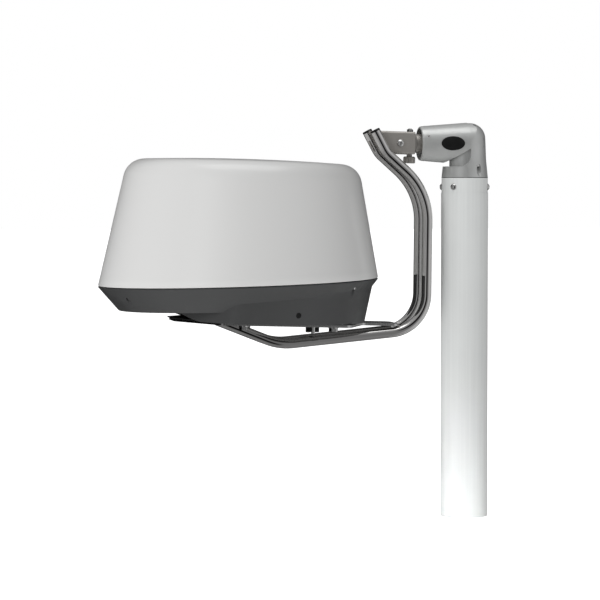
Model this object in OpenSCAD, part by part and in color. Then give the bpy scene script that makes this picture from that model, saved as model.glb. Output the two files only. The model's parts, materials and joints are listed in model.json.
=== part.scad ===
// Radar dome antenna on a self-levelling pole mount, in millimetres.
// Frame: origin at the centre of the pole's bottom face, +Z up, -X towards the radome.

/* [Pole] */
// Outside diameter of the pole tube
pole_d = 76.2; // [76:0.1:77]
// Wall of the pole tube
pole_wall = 3; // [2:0.5:3.5]
// Length of the pole tube
pole_h = 550; // [500:1:700]

/* [Head] */
// Height of the swing axis above the top of the pole
axis_rise = 55.5; // [55:0.5:58]
// Height of the collar above the pole's end
collar_h = 18.5; // [17:0.5:20]
// Depth of the spigot inside the pole
spigot_depth = 45; // [35:1:60]

/* [Barrel] */
// X of the barrel's open front face
barrel_front = -76; // [-78:1:-74]
// Barrel radius at the front
barrel_r1 = 28.3; // [28:0.1:29]
// Barrel radius at the back
barrel_r2 = 33.9; // [33.5:0.1:34]
// Slope of the barrel's oblique lower cut
cut_slope = 30.8; // [30:0.2:32]

/* [Trim] */
// X of the pivot bolt that carries the cradle
pivot_x = -111.7; // [-113:0.1:-111]
// Trim angle of the cradle as built, in degrees
trim = 1.7; // [0:0.1:3]
// Distance from the pivot bolt to the trim bolt
trim_bolt_x = 20; // [19.5:0.1:20.5]

/* [Cradle] */
// Outside diameter of the cradle tubes
tube_d = 16; // [15:0.5:16]
// Wall of the cradle tubes
tube_wall = 1.5; // [1:0.1:2]
// Distance between the two tubes' centrelines
tube_gap = 60; // [60:0.5:64]

/* [Plate] */
// Thickness of the base plate
plate_t = 4; // [3:0.5:5]
// Width of the base plate under the radome
plate_w = 264; // [256:1:280]
// Spacing of the radome bolts along X
bolt_dx = 142; // [140:1:144]
// Spacing of the radome bolts along Y
bolt_dy = 233; // [228:1:236]

/* [Radome] */
// Cover radius in the parting plane
dome_r = 223.5; // [223:0.5:226]
// Height of the cover above the parting plane
dome_h = 195.5; // [194:0.5:198]
// Lean of the cover's side from vertical
side_lean = 11.53; // [11:0.01:12]
// Radius of the cover's shoulder
shoulder_r = 34; // [30:1:36]
// Slope of the parting plane across the radome
parting = 3.39; // [3:0.01:3.6]
// Wall of the cover and of the base
shell_t = 3.5; // [3:0.5:4]
// Depth of the foot's bottom below the parting plane
foot_h = 59; // [58:0.5:60]
// Radius of the foot at its bottom, except towards its tip
foot_r = 198; // [197:0.5:199]
// Length of the foot from its centre to its tip
foot_l = 122; // [118:1:124]

/* [Antenna] */
// Length of the turning antenna array
array_l = 366; // [340:2:370]
// Height of the turning antenna array
array_h = 62; // [50:1:66]

/* [Drive] */
// Module of the drive gears
gear_m = 1.5; // [1.4:0.1:1.5]
// Teeth of the turntable gear
gear_teeth = 96; // [96:1:98]
// Teeth of the motor pinion
pinion_teeth = 18; // [18:1:20]

/* [Hidden] */
$fn = 96;

// Colours
CAST = [0.72, 0.73, 0.74];
POLE_PAINT = [0.80, 0.81, 0.81];
STEEL = [0.62, 0.61, 0.60];
BRUSHED = [0.58, 0.56, 0.53];
COVER = [0.86, 0.86, 0.85];
BASE = [0.30, 0.30, 0.30];
BLACK = [0.08, 0.08, 0.08];
NYLON = [0.90, 0.90, 0.85];
BOARD = [0.10, 0.35, 0.18];
FIT = 0.05;         // radial clearance of a running fit
GAP = 0.15;         // clearance of an easy fit within one body

// Pole and head
pole_r = pole_d / 2;
pole_ri = pole_r - pole_wall;
seat_z = pole_h - 24;               // the pole's top is turned down a little for the head
seat_r = pole_r - 0.6;
gasket_t = 1;
head_z = pole_h + gasket_t;
collar_r = seat_r;
collar_z = pole_h + collar_h;
axis_z = pole_h + axis_rise;
cable_way_r = 15;
screw_z = pole_h - 14.5;
screw_angles = [-133, -22, 60, 165];
elbow_front = 2;                    // X of the elbow's face that the barrel butts on
notch_r = 18;                       // concave round between that face and the collar
elbow_arc = [6.5, axis_z + 8];      // centre of the elbow's shoulder in side view
elbow_arc_r = 25.2;
neck_r = 25;
drum_arc = [8, axis_z + 8];          // centre of the shoulder's round about the pole's axis
spigot_r = 22;                      // barrel spigot inside the elbow
core_r = 24;                        // barrel core left by the oblique cut
cut_z = axis_z - 9.7;               // height of the oblique cut at X = 0
pocket_at = [15.8, -33.5, axis_z - 44.5];
pocket_turn = -64.7;                // compass angle of the clamp screw pockets
pocket_rise = 58;                   // their slope above horizontal
shoulder_screw_at = [14, -14, axis_z + 27];

// Barrel interior, as X positions along its axis
recess_r = 24.5;
recess_x = -62;
bore_r = 20;
bore_end = 10;
shaft_r = 10;
shaft_front = -84;
shaft_back = 4;
bearing_l = 11.5;
damper_x = [-49.5, -12];
chamber_r = 16.5;
vane_r = 16;
vane_t = 6;

// Cradle frame: origin on the pivot bolt
bracket_w = tube_gap - tube_d;
bracket_x = [-44, 24.4];
bracket_z = [-17, 19];
bracket_t = 3;
tongue_w = 30;
tongue_h = 22;
tongue_end = -83.5;
collar_end = -69;
pivot_r = 4;
trim_r = 3;
trim_slot = [15, 25.8];             // ends of the tongue's slot for the trim bolt
trim_slot_w = 6.8;
knob_r = 9.7;
knob_h = 10.8;
knob_z = -31.3;
tube_r = tube_d / 2;
joint_gap = 0.1;
joint_step = 0.08;
joint_l = 0.5;
// Corners of the tubes' centreline in side view, each with its bend radius
tube_path = [
    [-43.5, 17.3, 0], [-24.5, -16.2, 40], [45.5, -75.2, 107],
    [49.5, -297.2, 62], [-189.5, -327.2, 90], [-330, -276.3, 0]
];

// Radome frame: origin on the dome's axis in the parting plane
dome_x = -251.4;
dome_z = -228.8;
rim_shift = -2.73;                  // the slanted cut's circle sits this much forward
pad_t = 1.5;
foot_z = dome_z - foot_h;           // foot bottom, in the cradle frame
pad_z = foot_z - pad_t;
plate_z = pad_z - plate_t;
bolt_centre_x = -191;
bolt_x = [bolt_centre_x - bolt_dx / 2, bolt_centre_x + bolt_dx / 2];
centre_bolt_at = [-134, 22];
socket_x = -131;
crown_r = 3200;
foot_x = 3;
foot_lean = 11;                     // how much wider the foot is in the parting plane
foot_tip = [-85, 0.5];              // X where the tip's bottom is cut away, and the cut's slope
chamfer_h = 39;
chamfer_w = 30.7;
lip_h = 2;
gasket_half = 0.6;
cover_screw_z = -10;
cover_screw_at = [[208, 154], [213, 42]];   // radius and compass angle of one side's screws
cover_pocket_r = 4;
vent_angle = -73;
vent_z = -44;
vent_r = 4.5;
vent_face = foot_r + foot_lean * (1 + vent_z / foot_h) - 0.5;

// Drive
gear_r = gear_m * gear_teeth / 2;
pinion_r = gear_m * pinion_teeth / 2;
drive_dx = gear_r + pinion_r;
gear_z = 14;
gear_t = 9;
stub_r = 14;
bearing_r = 24;
floor_z = shell_t - foot_h;
unit_at = [5, 66];                  // near corner of the transceiver box on the floor
unit_size = [100, 80];

// Placement
module in_barrel() { translate([0, 0, axis_z]) rotate([0, 90, 0]) children(); }
module in_cradle() { translate([pivot_x, 0, axis_z]) rotate([0, trim, 0]) children(); }
module in_dome() { in_cradle() translate([dome_x, 0, dome_z]) children(); }
module in_rim() { in_dome() rotate([0, -parting, 0]) translate([rim_shift, 0, 0]) children(); }
module both_sides() { children(); mirror([0, 1, 0]) children(); }

// A side-view outline in X and Z, made solid across Y
module across(width) { rotate([90, 0, 0]) linear_extrude(width, center = true) children(); }

// A straight ring between two heights
module ring(r_out, r_in, z0, z1) {
    translate([0, 0, z0]) linear_extrude(z1 - z0) difference() {
        circle(r_out);
        circle(r_in);
    }
}

// A cylinder between two heights
module rod(r, z0, z1) { translate([0, 0, z0]) cylinder(r = r, h = z1 - z0); }

// A domed screw head standing on z = 0
module button_head(r, h, socket_r) {
    ball_r = (r * r + h * h) / (2 * h);
    difference() {
        intersection() {
            translate([0, 0, h - ball_r]) sphere(ball_r);
            rod(r, 0, h);
        }
        translate([0, 0, h * 0.4]) cylinder(r = socket_r, h = h, $fn = 6);
    }
}

// A socket cap screw whose head stands on z = 0 and whose shank goes down
module cap_screw(head_r, head_h, shank_r, shank_l) {
    difference() {
        rod(head_r, 0, head_h);
        translate([0, 0, head_h / 2]) cylinder(r = head_r / 2, h = head_h, $fn = 6);
    }
    rod(shank_r, -shank_l, 0);
}

// Hexagonal prism by its width across flats
module hex(flats, z0, z1) {
    translate([0, 0, z0]) cylinder(r = flats / 2 / cos(30), h = z1 - z0, $fn = 6);
}

// Corner points of an outline, each rounded with radius r
function unit(v) = v / norm(v);
function round_corner(a, b, c, r, n = 5) =
    let (u = unit(a - b), w = unit(c - b), half = acos(u * w) / 2)
    let (mid = b + unit(u + w) * r / sin(half), s = cross(u, w) > 0 ? 1 : -1)
    let (start = b + u * r / tan(half) - mid, turn = (180 - 2 * half) * s)
    [for (i = [0:n]) let (t = -turn * i / n)
        mid + [start.x * cos(t) - start.y * sin(t), start.x * sin(t) + start.y * cos(t)]];
function rounded(pts, r) = [for (i = [0:len(pts) - 1])
    each round_corner(pts[(i + len(pts) - 1) % len(pts)], pts[i], pts[(i + 1) % len(pts)], r)];

// Pole
module pole_tube() color(POLE_PAINT) difference() {
    union() {
        ring(pole_r, pole_ri, 0, seat_z);
        ring(seat_r, pole_ri, seat_z, pole_h);
    }
    for (a = screw_angles)
        rotate([0, 0, a]) translate([0, 0, screw_z]) rotate([0, 90, 0]) rod(3.2, 20, 60);
}

module head_gasket() color(BLACK) ring(collar_r, pole_ri, pole_h, head_z);

module pole_screws() color(STEEL) for (a = screw_angles)
    rotate([0, 0, a]) translate([seat_r, 0, screw_z]) rotate([0, 90, 0]) {
        button_head(5.4, 3.2, 2.1);
        rod(3, -9, 0);
    }

// Height of the oblique cut at a given X
function cut_at(x) = cut_z + x * tan(cut_slope);

module elbow_side() difference() {
    union() {
        polygon([
            [-collar_r, head_z], [37.3, head_z], [34.3, collar_z + 11], [32.6, axis_z],
            [elbow_arc.x + elbow_arc_r, elbow_arc.y], elbow_arc,
            [elbow_arc.x, elbow_arc.y + elbow_arc_r], [elbow_front, elbow_arc.y + elbow_arc_r],
            [elbow_front, collar_z + notch_r], [elbow_front - notch_r, collar_z],
            [-collar_r, collar_z]
        ]);
        intersection() {
            translate(elbow_arc) circle(elbow_arc_r);
            translate(elbow_arc) square(elbow_arc_r);
        }
        translate([elbow_front - notch_r, collar_z]) square(notch_r);
    }
    translate([elbow_front - notch_r, collar_z + notch_r]) circle(notch_r);
}

module elbow_drum() rotate_extrude() {
    polygon([
        [0, head_z], [collar_r, head_z], [34.6, collar_z + 11], [33.6, axis_z],
        [drum_arc.x + elbow_arc_r, drum_arc.y], [0, drum_arc.y]
    ]);
    translate([0, drum_arc.y - 1]) square([drum_arc.x, elbow_arc_r + 1]);
    translate(drum_arc) intersection() {
        circle(elbow_arc_r);
        translate([-1, -1]) square(elbow_arc_r + 2);
    }
}

// Pocket and hole of a barrel clamp screw, along +Z into the casting
module clamp_axis() {
    translate(pocket_at) rotate([0, 0, pocket_turn]) rotate([0, pocket_rise - 90, 0]) children();
}

module top_screw_axis() { translate(shoulder_screw_at) rotate([22, 22, 0]) children(); }

module pole_head() color(CAST) difference() {
    union() {
        rod(pole_ri - GAP, pole_h - spigot_depth, head_z);
        intersection() {
            elbow_drum();
            across(100) elbow_side();
            union() {
                in_barrel() rod(barrel_r2, -60, 60);
                translate([-60, -60, head_z]) cube([120, 120, axis_z - head_z]);
            }
        }
        intersection() {
            across(100) polygon([
                [-neck_r, collar_z - 1], [elbow_front + 1, collar_z - 1],
                [elbow_front + 1, cut_at(elbow_front)], [elbow_front, cut_at(elbow_front)],
                [-neck_r, cut_at(-neck_r)]
            ]);
            rod(neck_r, head_z, axis_z);
        }
    }
    rod(cable_way_r, pole_h - spigot_depth - 1, collar_z + 6);
    in_barrel() rod(spigot_r + FIT, -60, 27);
    in_barrel() rod(core_r + FIT, -60, elbow_front);
    both_sides() clamp_axis() {
        rod(4.5, -30, 12);
        rod(3.05, 0, 40);
    }
    top_screw_axis() {
        rod(5, -1, 20);
        rod(3.05, -30, 20);
    }
    for (a = screw_angles)
        rotate([0, 0, a]) translate([0, 0, screw_z]) rotate([0, 90, 0]) rod(3, 28, 60);
}

module head_top_screw() color(STEEL) top_screw_axis() {
    translate([0, 0, -1]) button_head(4.6, 2.8, 1.9);
    rod(3, -7, -1);
}

module barrel_clamp_screws() color(STEEL) both_sides() clamp_axis() {
    translate([0, 0, 12]) mirror([0, 0, 1]) cap_screw(4.3, 5.5, 3, 7);
}

// Barrel
module barrel_housing() color(CAST) difference() {
    union() {
        difference() {
            in_barrel() rotate_extrude() polygon([
                [0, barrel_front], [25.8, barrel_front], [27.1, barrel_front + 0.9],
                [27.9, barrel_front + 3.4], [barrel_r1, barrel_front + 7],
                [barrel_r2, elbow_front], [0, elbow_front]
            ]);
            across(100) polygon([
                [-45, cut_at(-45)], [10, cut_at(10)], [10, cut_at(-45) - 30], [-45, cut_at(-45) - 30]
            ]);
        }
        in_barrel() rod(core_r, -60, elbow_front);
        in_barrel() rod(spigot_r, 0, 26);
    }
    in_barrel() {
        rod(recess_r, barrel_front - 1, recess_x);
        rod(bore_r, recess_x - 1, bore_end);
    }
    both_sides() clamp_axis() rod(3.05, 0, 40);
    grub_axis() rod(2, -10, 3);
}

module grub_axis() {
    translate([-66, 0, axis_z]) rotate([67, 0, 0]) translate([0, 0, barrel_r1]) children();
}

module barrel_grub_screw() color(STEEL) grub_axis() difference() {
    rod(2, -3.6, -0.3);
    translate([0, 0, -2]) cylinder(r = 1, h = 3, $fn = 6);
}

// Blank oval plate that follows the barrel's cone
module name_badge() {
    badge_x = -27;
    oval = [for (i = [0:47]) [19 * cos(i * 7.5), 11.4 * sin(i * 7.5)]];
    slope = (barrel_r2 - barrel_r1) / (elbow_front - barrel_front - 7);
    r_here = barrel_r1 + slope * (badge_x - barrel_front - 7);
    color(BLACK) intersection() {
        in_barrel() rotate_extrude() polygon([for (s = [[-22, 0], [22, 0], [22, 0.8], [-22, 0.8]])
            [r_here + slope * s[0] + s[1] + 0.02, badge_x + s[0]]]);
        translate([badge_x, 0, axis_z]) rotate([90, 0, 0]) linear_extrude(60) polygon(oval);
    }
}

module front_bearing() color(NYLON) in_barrel()
    ring(bore_r, shaft_r + FIT, recess_x, recess_x + bearing_l);

module rear_bearing() color(NYLON) in_barrel()
    ring(bore_r, shaft_r + FIT, damper_x[1] + 0.5, damper_x[1] + 0.5 + bearing_l);

// Two walls inside the damper split its oil chamber beside the vane's two lobes
module damper_body() color(STEEL) in_barrel() {
    difference() {
        rod(bore_r, damper_x[0], damper_x[1]);
        rod(chamber_r, damper_x[0] + 4, damper_x[1] - 4);
        rod(shaft_r + FIT, damper_x[0] - 1, damper_x[1] + 1);
    }
    intersection() {
        translate([-vane_t / 2, -30, damper_x[0] + 4])
            cube([vane_t, 60, damper_x[1] - damper_x[0] - 8]);
        ring(chamber_r, shaft_r + 1, damper_x[0] + 4, damper_x[1] - 4);
    }
}

module damper_vane() color(BRUSHED) in_barrel() intersection() {
    translate([-30, -vane_t / 2, damper_x[0] + 4.5])
        cube([60, vane_t, damper_x[1] - damper_x[0] - 9]);
    ring(vane_r, shaft_r, damper_x[0] + 4.5, damper_x[1] - 4.5);
}

module shaft_seal() color(BLACK) in_barrel()
    ring(recess_r, shaft_r + FIT, recess_x - 2, recess_x);

retainer_x = recess_x - 4.5;
module retainer_places() in_barrel() for (a = [45:90:315])
    rotate([0, 0, a]) translate([19.5, 0, retainer_x]) children();

module seal_retainer() color(BLACK) difference() {
    in_barrel() ring(recess_r, shaft_r + 1, retainer_x, recess_x - 2);
    retainer_places() rod(1.5, -1, 5);
}

module retainer_screws() color(STEEL) retainer_places() {
    mirror([0, 0, 1]) button_head(2.8, 1.6, 1.1);
    rod(1.5, 0, 2.4);
}

module swing_shaft() color(STEEL) in_barrel() difference() {
    rod(shaft_r, shaft_front, shaft_back);
    ring(shaft_r + 1, shaft_r - 0.8, 0.2, 1.4);
}

module shaft_circlip() color(BRUSHED) in_barrel() ring(12.5, shaft_r - 0.8, 0.2, 1.4);

// Tongue: a block with a round nose on the pivot bolt and a collar on the shaft
module pivot_tongue() color(BRUSHED) difference() {
    union() {
        translate([pivot_x, -tongue_w / 2, axis_z - tongue_h / 2])
            cube([tongue_end - pivot_x, tongue_w, tongue_h]);
        translate([pivot_x, 0, axis_z]) rotate([90, 0, 0])
            cylinder(r = tongue_h / 2, h = tongue_w, center = true);
        in_barrel() rod(15, tongue_end, collar_end);
    }
    in_barrel() rod(shaft_r, shaft_front, 0);
    translate([pivot_x, 0, axis_z]) rotate([90, 0, 0]) cylinder(r = 5.5, h = 60, center = true);
    translate([pivot_x + trim_slot[0], -trim_slot_w / 2, axis_z - 30])
        cube([trim_slot[1] - trim_slot[0], trim_slot_w, 60]);
}

module tongue_bush() color(NYLON) translate([pivot_x, 0, axis_z]) rotate([90, 0, 0])
    ring(5.5, pivot_r + FIT, -tongue_w / 2, tongue_w / 2);

// Cradle; the bracket's left end is mitred along the tubes' centrelines
function mitre_at(z) = let (a = tube_path[0], b = tube_path[1])
    a[0] + (z - a[1]) * (b[0] - a[0]) / (b[1] - a[1]);
module bracket_section(w, h, r) polygon(rounded([[-w, -h], [w, -h], [w, h], [-w, h]], r));

module box_bracket() color(BRUSHED) in_cradle() difference() {
    mid_z = (bracket_z[0] + bracket_z[1]) / 2;
    half_h = (bracket_z[1] - bracket_z[0]) / 2;
    translate([bracket_x[0], 0, mid_z]) rotate([90, 0, 90])
        linear_extrude(bracket_x[1] - bracket_x[0]) difference() {
            bracket_section(bracket_w / 2, half_h, 4);
            bracket_section(bracket_w / 2 - bracket_t, half_h - bracket_t, 1);
        }
    rotate([90, 0, 0]) cylinder(r = pivot_r, h = 80, center = true);
    translate([trim_bolt_x, 0, 0]) rod(trim_r + FIT, -40, 40);
    across(100) polygon([
        [mitre_at(30), 30], [mitre_at(-30), -30], [bracket_x[0] - 9, -30], [bracket_x[0] - 9, 30]
    ]);
}

module pivot_bolt() color(STEEL) in_cradle() rotate([90, 0, 0]) {
    translate([0, 0, bracket_w / 2]) button_head(6.6, 4.6, 2.6);
    rod(pivot_r, -bracket_w / 2 - 7.5, bracket_w / 2);
}

module pivot_nut() color(STEEL) in_cradle() rotate([90, 0, 0]) difference() {
    hex(13, -bracket_w / 2 - 6.5, -bracket_w / 2);
    rod(pivot_r, -60, 0);
}

module pivot_spacers() color(NYLON) in_cradle() both_sides() rotate([90, 0, 0])
    ring(9, pivot_r, tongue_w / 2 + FIT, bracket_w / 2 - bracket_t);

// Sweep of a round section along the tube's path: true straights and bends,
// joined by thin collars at each tangent point
function bend_turn(a, b, c) = let (u = unit(b - a), w = unit(c - b)) asin(cross(u, w));
function flat2(p) = [p[0], p[1]];

module along_path(at, heading) { translate([at.x, 0, at.y]) rotate([0, 90 - heading, 0]) children(); }

module tube_run(r) {
    last = len(tube_path) - 1;
    turns = [for (i = [0:last]) i == 0 || i == last ? 0 :
        bend_turn(flat2(tube_path[i - 1]), flat2(tube_path[i]), flat2(tube_path[i + 1]))];
    trims = [for (i = [0:last]) tube_path[i][2] * tan(abs(turns[i]) / 2)];
    for (i = [0:last - 1]) {
        a = flat2(tube_path[i]);
        b = flat2(tube_path[i + 1]);
        dir = unit(b - a);
        heading = atan2(dir.y, dir.x);
        length = norm(b - a) - trims[i] - trims[i + 1];
        along_path(a + dir * trims[i], heading) {
            rod(r, joint_gap, length - joint_gap);
            if (i > 0) rod(r + joint_step, -joint_l, joint_l);
            if (i + 1 < last) rod(r + joint_step, length - joint_l, length + joint_l);
        }
        if (i + 1 < last) {
            side = sign(turns[i + 1]);
            bend_r = tube_path[i + 1][2];
            along_path(a + dir * (trims[i] + length), heading) rotate([90, -90, 0])
                translate([0, side * bend_r, 0])
                    rotate([0, 0, side > 0 ? -90 : 90 + turns[i + 1]])
                        rotate_extrude(angle = abs(turns[i + 1])) translate([bend_r, 0]) circle(r);
        }
    }
}

// One tube, mitred flat against the underside of the plate
module cradle_tube(y) color(STEEL) in_cradle() difference() {
    translate([0, y, 0]) tube_run(tube_r);
    translate([0, y, 0]) tube_run(tube_r - tube_wall);
    translate([-400, y - 20, plate_z]) cube([200, 40, 100]);
}

module near_tube() cradle_tube(-tube_gap / 2);
module far_tube() cradle_tube(tube_gap / 2);

module tube_caps() color(BLACK) in_cradle() for (y = [-tube_gap / 2, tube_gap / 2]) {
    dir = flat2(tube_path[0]) - flat2(tube_path[1]);
    translate([tube_path[0][0], y, tube_path[0][1]])
        rotate([0, 90 - atan2(dir.y, dir.x), 0]) {
            rod(tube_r, 0, 2.6);
            rod(tube_r - tube_wall, -6, 0);
        }
}

brace_x = [-252, -236];
module cross_brace() color(BRUSHED) in_cradle() {
    half = bracket_w / 2;
    translate([brace_x[0], -half, plate_z - 3]) cube([brace_x[1] - brace_x[0], 2 * half, 3]);
    for (x = [brace_x[0], brace_x[1] - 3])
        translate([x, -half, plate_z - 15]) cube([3, 2 * half, 12]);
}

// Outline of the plate: wide under the radome, narrow at both ends
module plate_outline(grow) polygon(rounded([
    [-360 - grow, -30], [-300, -plate_w / 2], [-95, -plate_w / 2], [-58, -38], [4, -38],
    [4, 38], [-58, 38], [-95, plate_w / 2], [-300, plate_w / 2], [-360 - grow, 30]
], 10));

module bolt_places() for (x = bolt_x) for (y = [-bolt_dy / 2, bolt_dy / 2])
    translate([x, y, 0]) children();

module centre_bolt_places() both_sides() translate([centre_bolt_at.x, centre_bolt_at.y, 0])
    children();

module base_plate() color(STEEL) in_cradle() difference() {
    translate([0, 0, plate_z]) linear_extrude(plate_t) plate_outline(0);
    bolt_places() rod(4.5, plate_z - 1, pad_z + 1);
    centre_bolt_places() rod(3, plate_z - 1, pad_z + 1);
    translate([socket_x, 0, 0]) rod(15, plate_z - 1, pad_z + 1);
    for (y = [-72, 72]) translate([bolt_centre_x, y, 0]) rod(24, plate_z - 1, pad_z + 1);
}

module plate_pad() color(BLACK) in_cradle() difference() {
    intersection() {
        translate([0, 0, pad_z]) linear_extrude(pad_t) plate_outline(3);
        translate([-400, -200, pad_z - 1]) cube([345, 400, 10]);
    }
    bolt_places() rod(4.5, pad_z - 1, foot_z + 1);
    centre_bolt_places() rod(3, pad_z - 1, foot_z + 1);
    translate([socket_x, 0, 0]) rod(15, pad_z - 1, foot_z + 1);
}

module radome_bolts() color(STEEL) in_cradle() bolt_places() {
    hex(13, plate_z - 6.9, plate_z - 1.6);
    rod(4, plate_z - 1.6, foot_z + 18);
}

module bolt_washers() color(STEEL) in_cradle() bolt_places() ring(8, 4, plate_z - 1.6, plate_z);

module centre_bolts() color(STEEL) in_cradle() centre_bolt_places() {
    rod(3, plate_z - 16, foot_z + 8);
    hex(10, plate_z - 5, plate_z);
}

// Radome
module cover_solid(inset) {
    cone = tan(side_lean);
    r0 = dome_r - inset;
    top = dome_h - inset;
    round = shoulder_r - inset;
    cr = r0 - round / cos(side_lean) - cone * (top - round - 4);
    cz = top - round - cr * cr / (2 * crown_r);
    low = -20;
    arc_pts = [for (i = [0:12]) let (a = side_lean + (87 - side_lean) * i / 12)
        [cr + round * cos(a), cz + round * sin(a)]];
    crown_pts = [for (i = [4:-1:0]) let (r = cr * i / 5) [r, top - r * r / (2 * crown_r)]];
    rotate_extrude() polygon(concat([[0, low], [r0 - cone * low, low]], arc_pts, crown_pts));
}

module above_parting(gap) {
    rotate([0, -parting, 0]) translate([-400, -400, gap]) cube([800, 800, 400]);
}

module below_parting(gap) {
    rotate([0, -parting, 0]) translate([-400, -400, -400 - gap]) cube([800, 800, 400]);
}

module cover_screw_places() in_rim() both_sides() for (s = cover_screw_at)
    rotate([0, 0, s[1]]) translate([s[0], 0, 0]) children();

module radome_cover() color(COVER) difference() {
    union() {
        in_dome() intersection() {
            above_parting(gasket_half);
            difference() {
                cover_solid(0);
                cover_solid(shell_t);
            }
        }
        intersection() {
            cover_screw_places() {
                rod(6, gasket_half, 16);
                translate([0, -2, gasket_half]) cube([20, 4, 15.4]);
            }
            in_dome() cover_solid(1);
        }
    }
    cover_screw_places() rod(2.5, 0, 14);
}

module rim_gasket() color(BLACK) difference() {
    in_rim() ring(dome_r - 0.9, dome_r - 12, -gasket_half, gasket_half);
    cover_screw_places() rod(6.05, -1, 1);
}

// The bowl and foot of the base, shrunk by an inset for its inside
module base_solid(inset) {
    steep = norm([chamfer_h - lip_h, chamfer_w]) / (chamfer_h - lip_h);
    r = dome_r - 0.2 - inset;
    rotate([0, -parting, 0]) translate([rim_shift, 0, 0]) rotate_extrude() polygon([
        [0, 10], [r, 10], [r, -lip_h], [r - chamfer_w - inset * (steep - 1), -chamfer_h + inset],
        [0, -chamfer_h + inset]
    ]);
    tip_x = foot_tip[0] + inset;
    intersection() {
        translate([foot_x, 0, 0]) rotate_extrude() polygon([
            [0, inset - foot_h], [foot_r - inset, inset - foot_h],
            [foot_r + foot_lean - inset, 0], [0, 0]
        ]);
        translate([foot_x, 0, inset - foot_h]) linear_extrude(foot_h - inset) foot_plan(inset);
        across(500) polygon([
            [tip_x, -foot_h], [300, -foot_h], [300, 20], [tip_x - 150, 20],
            [tip_x - 150, 150 * foot_tip[1] - foot_h]
        ]);
    }
}

// Plan of the foot: half a circle, then half an oval towards the tip
module foot_plan(inset) {
    r = foot_r + foot_lean + 1 - inset;
    l = foot_l - inset;
    tip = [for (i = [1:35]) let (a = 90 + 5 * i) [l * cos(a), r * sin(a)]];
    intersection() {
        circle(r);
        translate([0, -r]) square([r, 2 * r]);
    }
    polygon(concat([[0.1, -r], [0.1, r], [0, r]], tip, [[0, -r]]));
}

module base_bosses() {
    for (x = bolt_x) for (y = [-bolt_dy / 2, bolt_dy / 2])
        translate([x - dome_x, y, 0]) rod(11, floor_z - 1, floor_z + 18);
    both_sides() translate([centre_bolt_at.x - dome_x, centre_bolt_at.y, 0])
        rod(7, floor_z - 1, floor_z + 8);
}

module vent_place() in_dome() translate([foot_x, 0, vent_z]) rotate([0, 0, vent_angle])
    rotate([0, 90, 0]) children();

module radome_base() color(BASE) difference() {
    union() {
        in_dome() intersection() {
            below_parting(gasket_half);
            difference() {
                base_solid(0);
                base_solid(shell_t);
            }
        }
        in_dome() base_bosses();
        intersection() {
            cover_screw_places() rod(cover_pocket_r + 4, -40, -gasket_half);
            in_dome() base_solid(0.5);
        }
    }
    in_cradle() bolt_places() rod(4, foot_z - 1, foot_z + 18);
    in_cradle() centre_bolt_places() rod(3, foot_z - 1, foot_z + 8);
    in_cradle() translate([socket_x, 0, 0]) rod(11, foot_z - 1, foot_z + 10);
    cover_screw_places() {
        rod(cover_pocket_r, -40, cover_screw_z);
        rod(2.6, -20, 1);
    }
    vent_place() rod(vent_r, 150, 220);
}

module cover_screws() color(STEEL) cover_screw_places() {
    translate([0, 0, cover_screw_z]) mirror([0, 0, 1]) difference() {
        rod(cover_pocket_r - 0.3, 0, 3);
        translate([-5, -0.6, 1.8]) cube([10, 1.2, 5]);
    }
    rod(2.5, cover_screw_z, 12);
}

module vent_plug() color(BLACK) vent_place() difference() {
    rod(vent_r, vent_face - shell_t - 1, vent_face);
    for (a = [0:60:300]) rotate([0, 0, a]) translate([2.6, 0, 0]) rod(0.5, 150, 220);
}

module cable_socket() color(BLACK) in_cradle() translate([socket_x, 0, 0]) difference() {
    union() {
        rod(11, plate_z - 14, foot_z + 8);
        ring(14, 10, plate_z - 2, foot_z);
    }
    rod(8, plate_z - 15, plate_z - 2);
}

// Inside the radome
module pedestal() color(CAST) in_dome() {
    rod(62, floor_z, floor_z + 6);
    rod(26, floor_z + 6, gear_z - 3);
    rod(19, gear_z - 3, gear_z - 1);
    rod(stub_r, gear_z - 1, gear_z + 16);
}

module main_bearing() color(STEEL) in_dome()
    ring(bearing_r, stub_r, gear_z - 1, gear_z + 13);

// Involute tooth outline of a gear, as points round the pitch circle
function inv_angle(r, rb) = let (t = sqrt(max(0, r * r / (rb * rb) - 1))) t * 180 / PI - atan(t);
function tooth_half(r, n, play) = let (rp = gear_m * n / 2, rb = rp * cos(20))
    90 / n - play / (4 * rp) * 180 / PI + inv_angle(rp, rb) - inv_angle(max(r, rb), rb);
function gear_points(n, play, phase) =
    let (rp = gear_m * n / 2, radii = [for (s = [-1.25, -0.5, 0.2, 0.9]) rp + s * gear_m])
    [for (k = [0:n - 1]) let (mid = 360 * k / n + phase)
        each concat(
            [for (r = radii) r * [cos(mid - tooth_half(r, n, play)), sin(mid - tooth_half(r, n, play))]],
            [for (i = [3:-1:0]) let (r = radii[i])
                r * [cos(mid + tooth_half(r, n, play)), sin(mid + tooth_half(r, n, play))]])];

module turntable_gear() color(NYLON) in_dome() {
    difference() {
        union() {
            translate([0, 0, gear_z]) linear_extrude(gear_t) polygon(gear_points(gear_teeth, 0.3, 0));
            rod(33, gear_z + gear_t, gear_z + 16);
        }
        rod(bearing_r + FIT, gear_z - 1, gear_z + 13.1);
        rod(stub_r + 2, gear_z, gear_z + 20);
        for (a = [30:60:330]) rotate([0, 0, a]) translate([50, 0, 0]) rod(9, gear_z - 1, gear_z + 20);
    }
}

module motor_pinion() color(BRUSHED) in_dome() translate([drive_dx, 0, 0]) difference() {
    translate([0, 0, gear_z - 1]) linear_extrude(gear_t + 2)
        polygon(gear_points(pinion_teeth, 0.3, 180 + 180 / pinion_teeth));
    rod(2.5, gear_z - 2, gear_z + 20);
}

module motor_shaft() color(STEEL) in_dome() translate([drive_dx, 0, 0])
    rod(2.5, gear_z - 30, gear_z + gear_t + 2);

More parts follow.
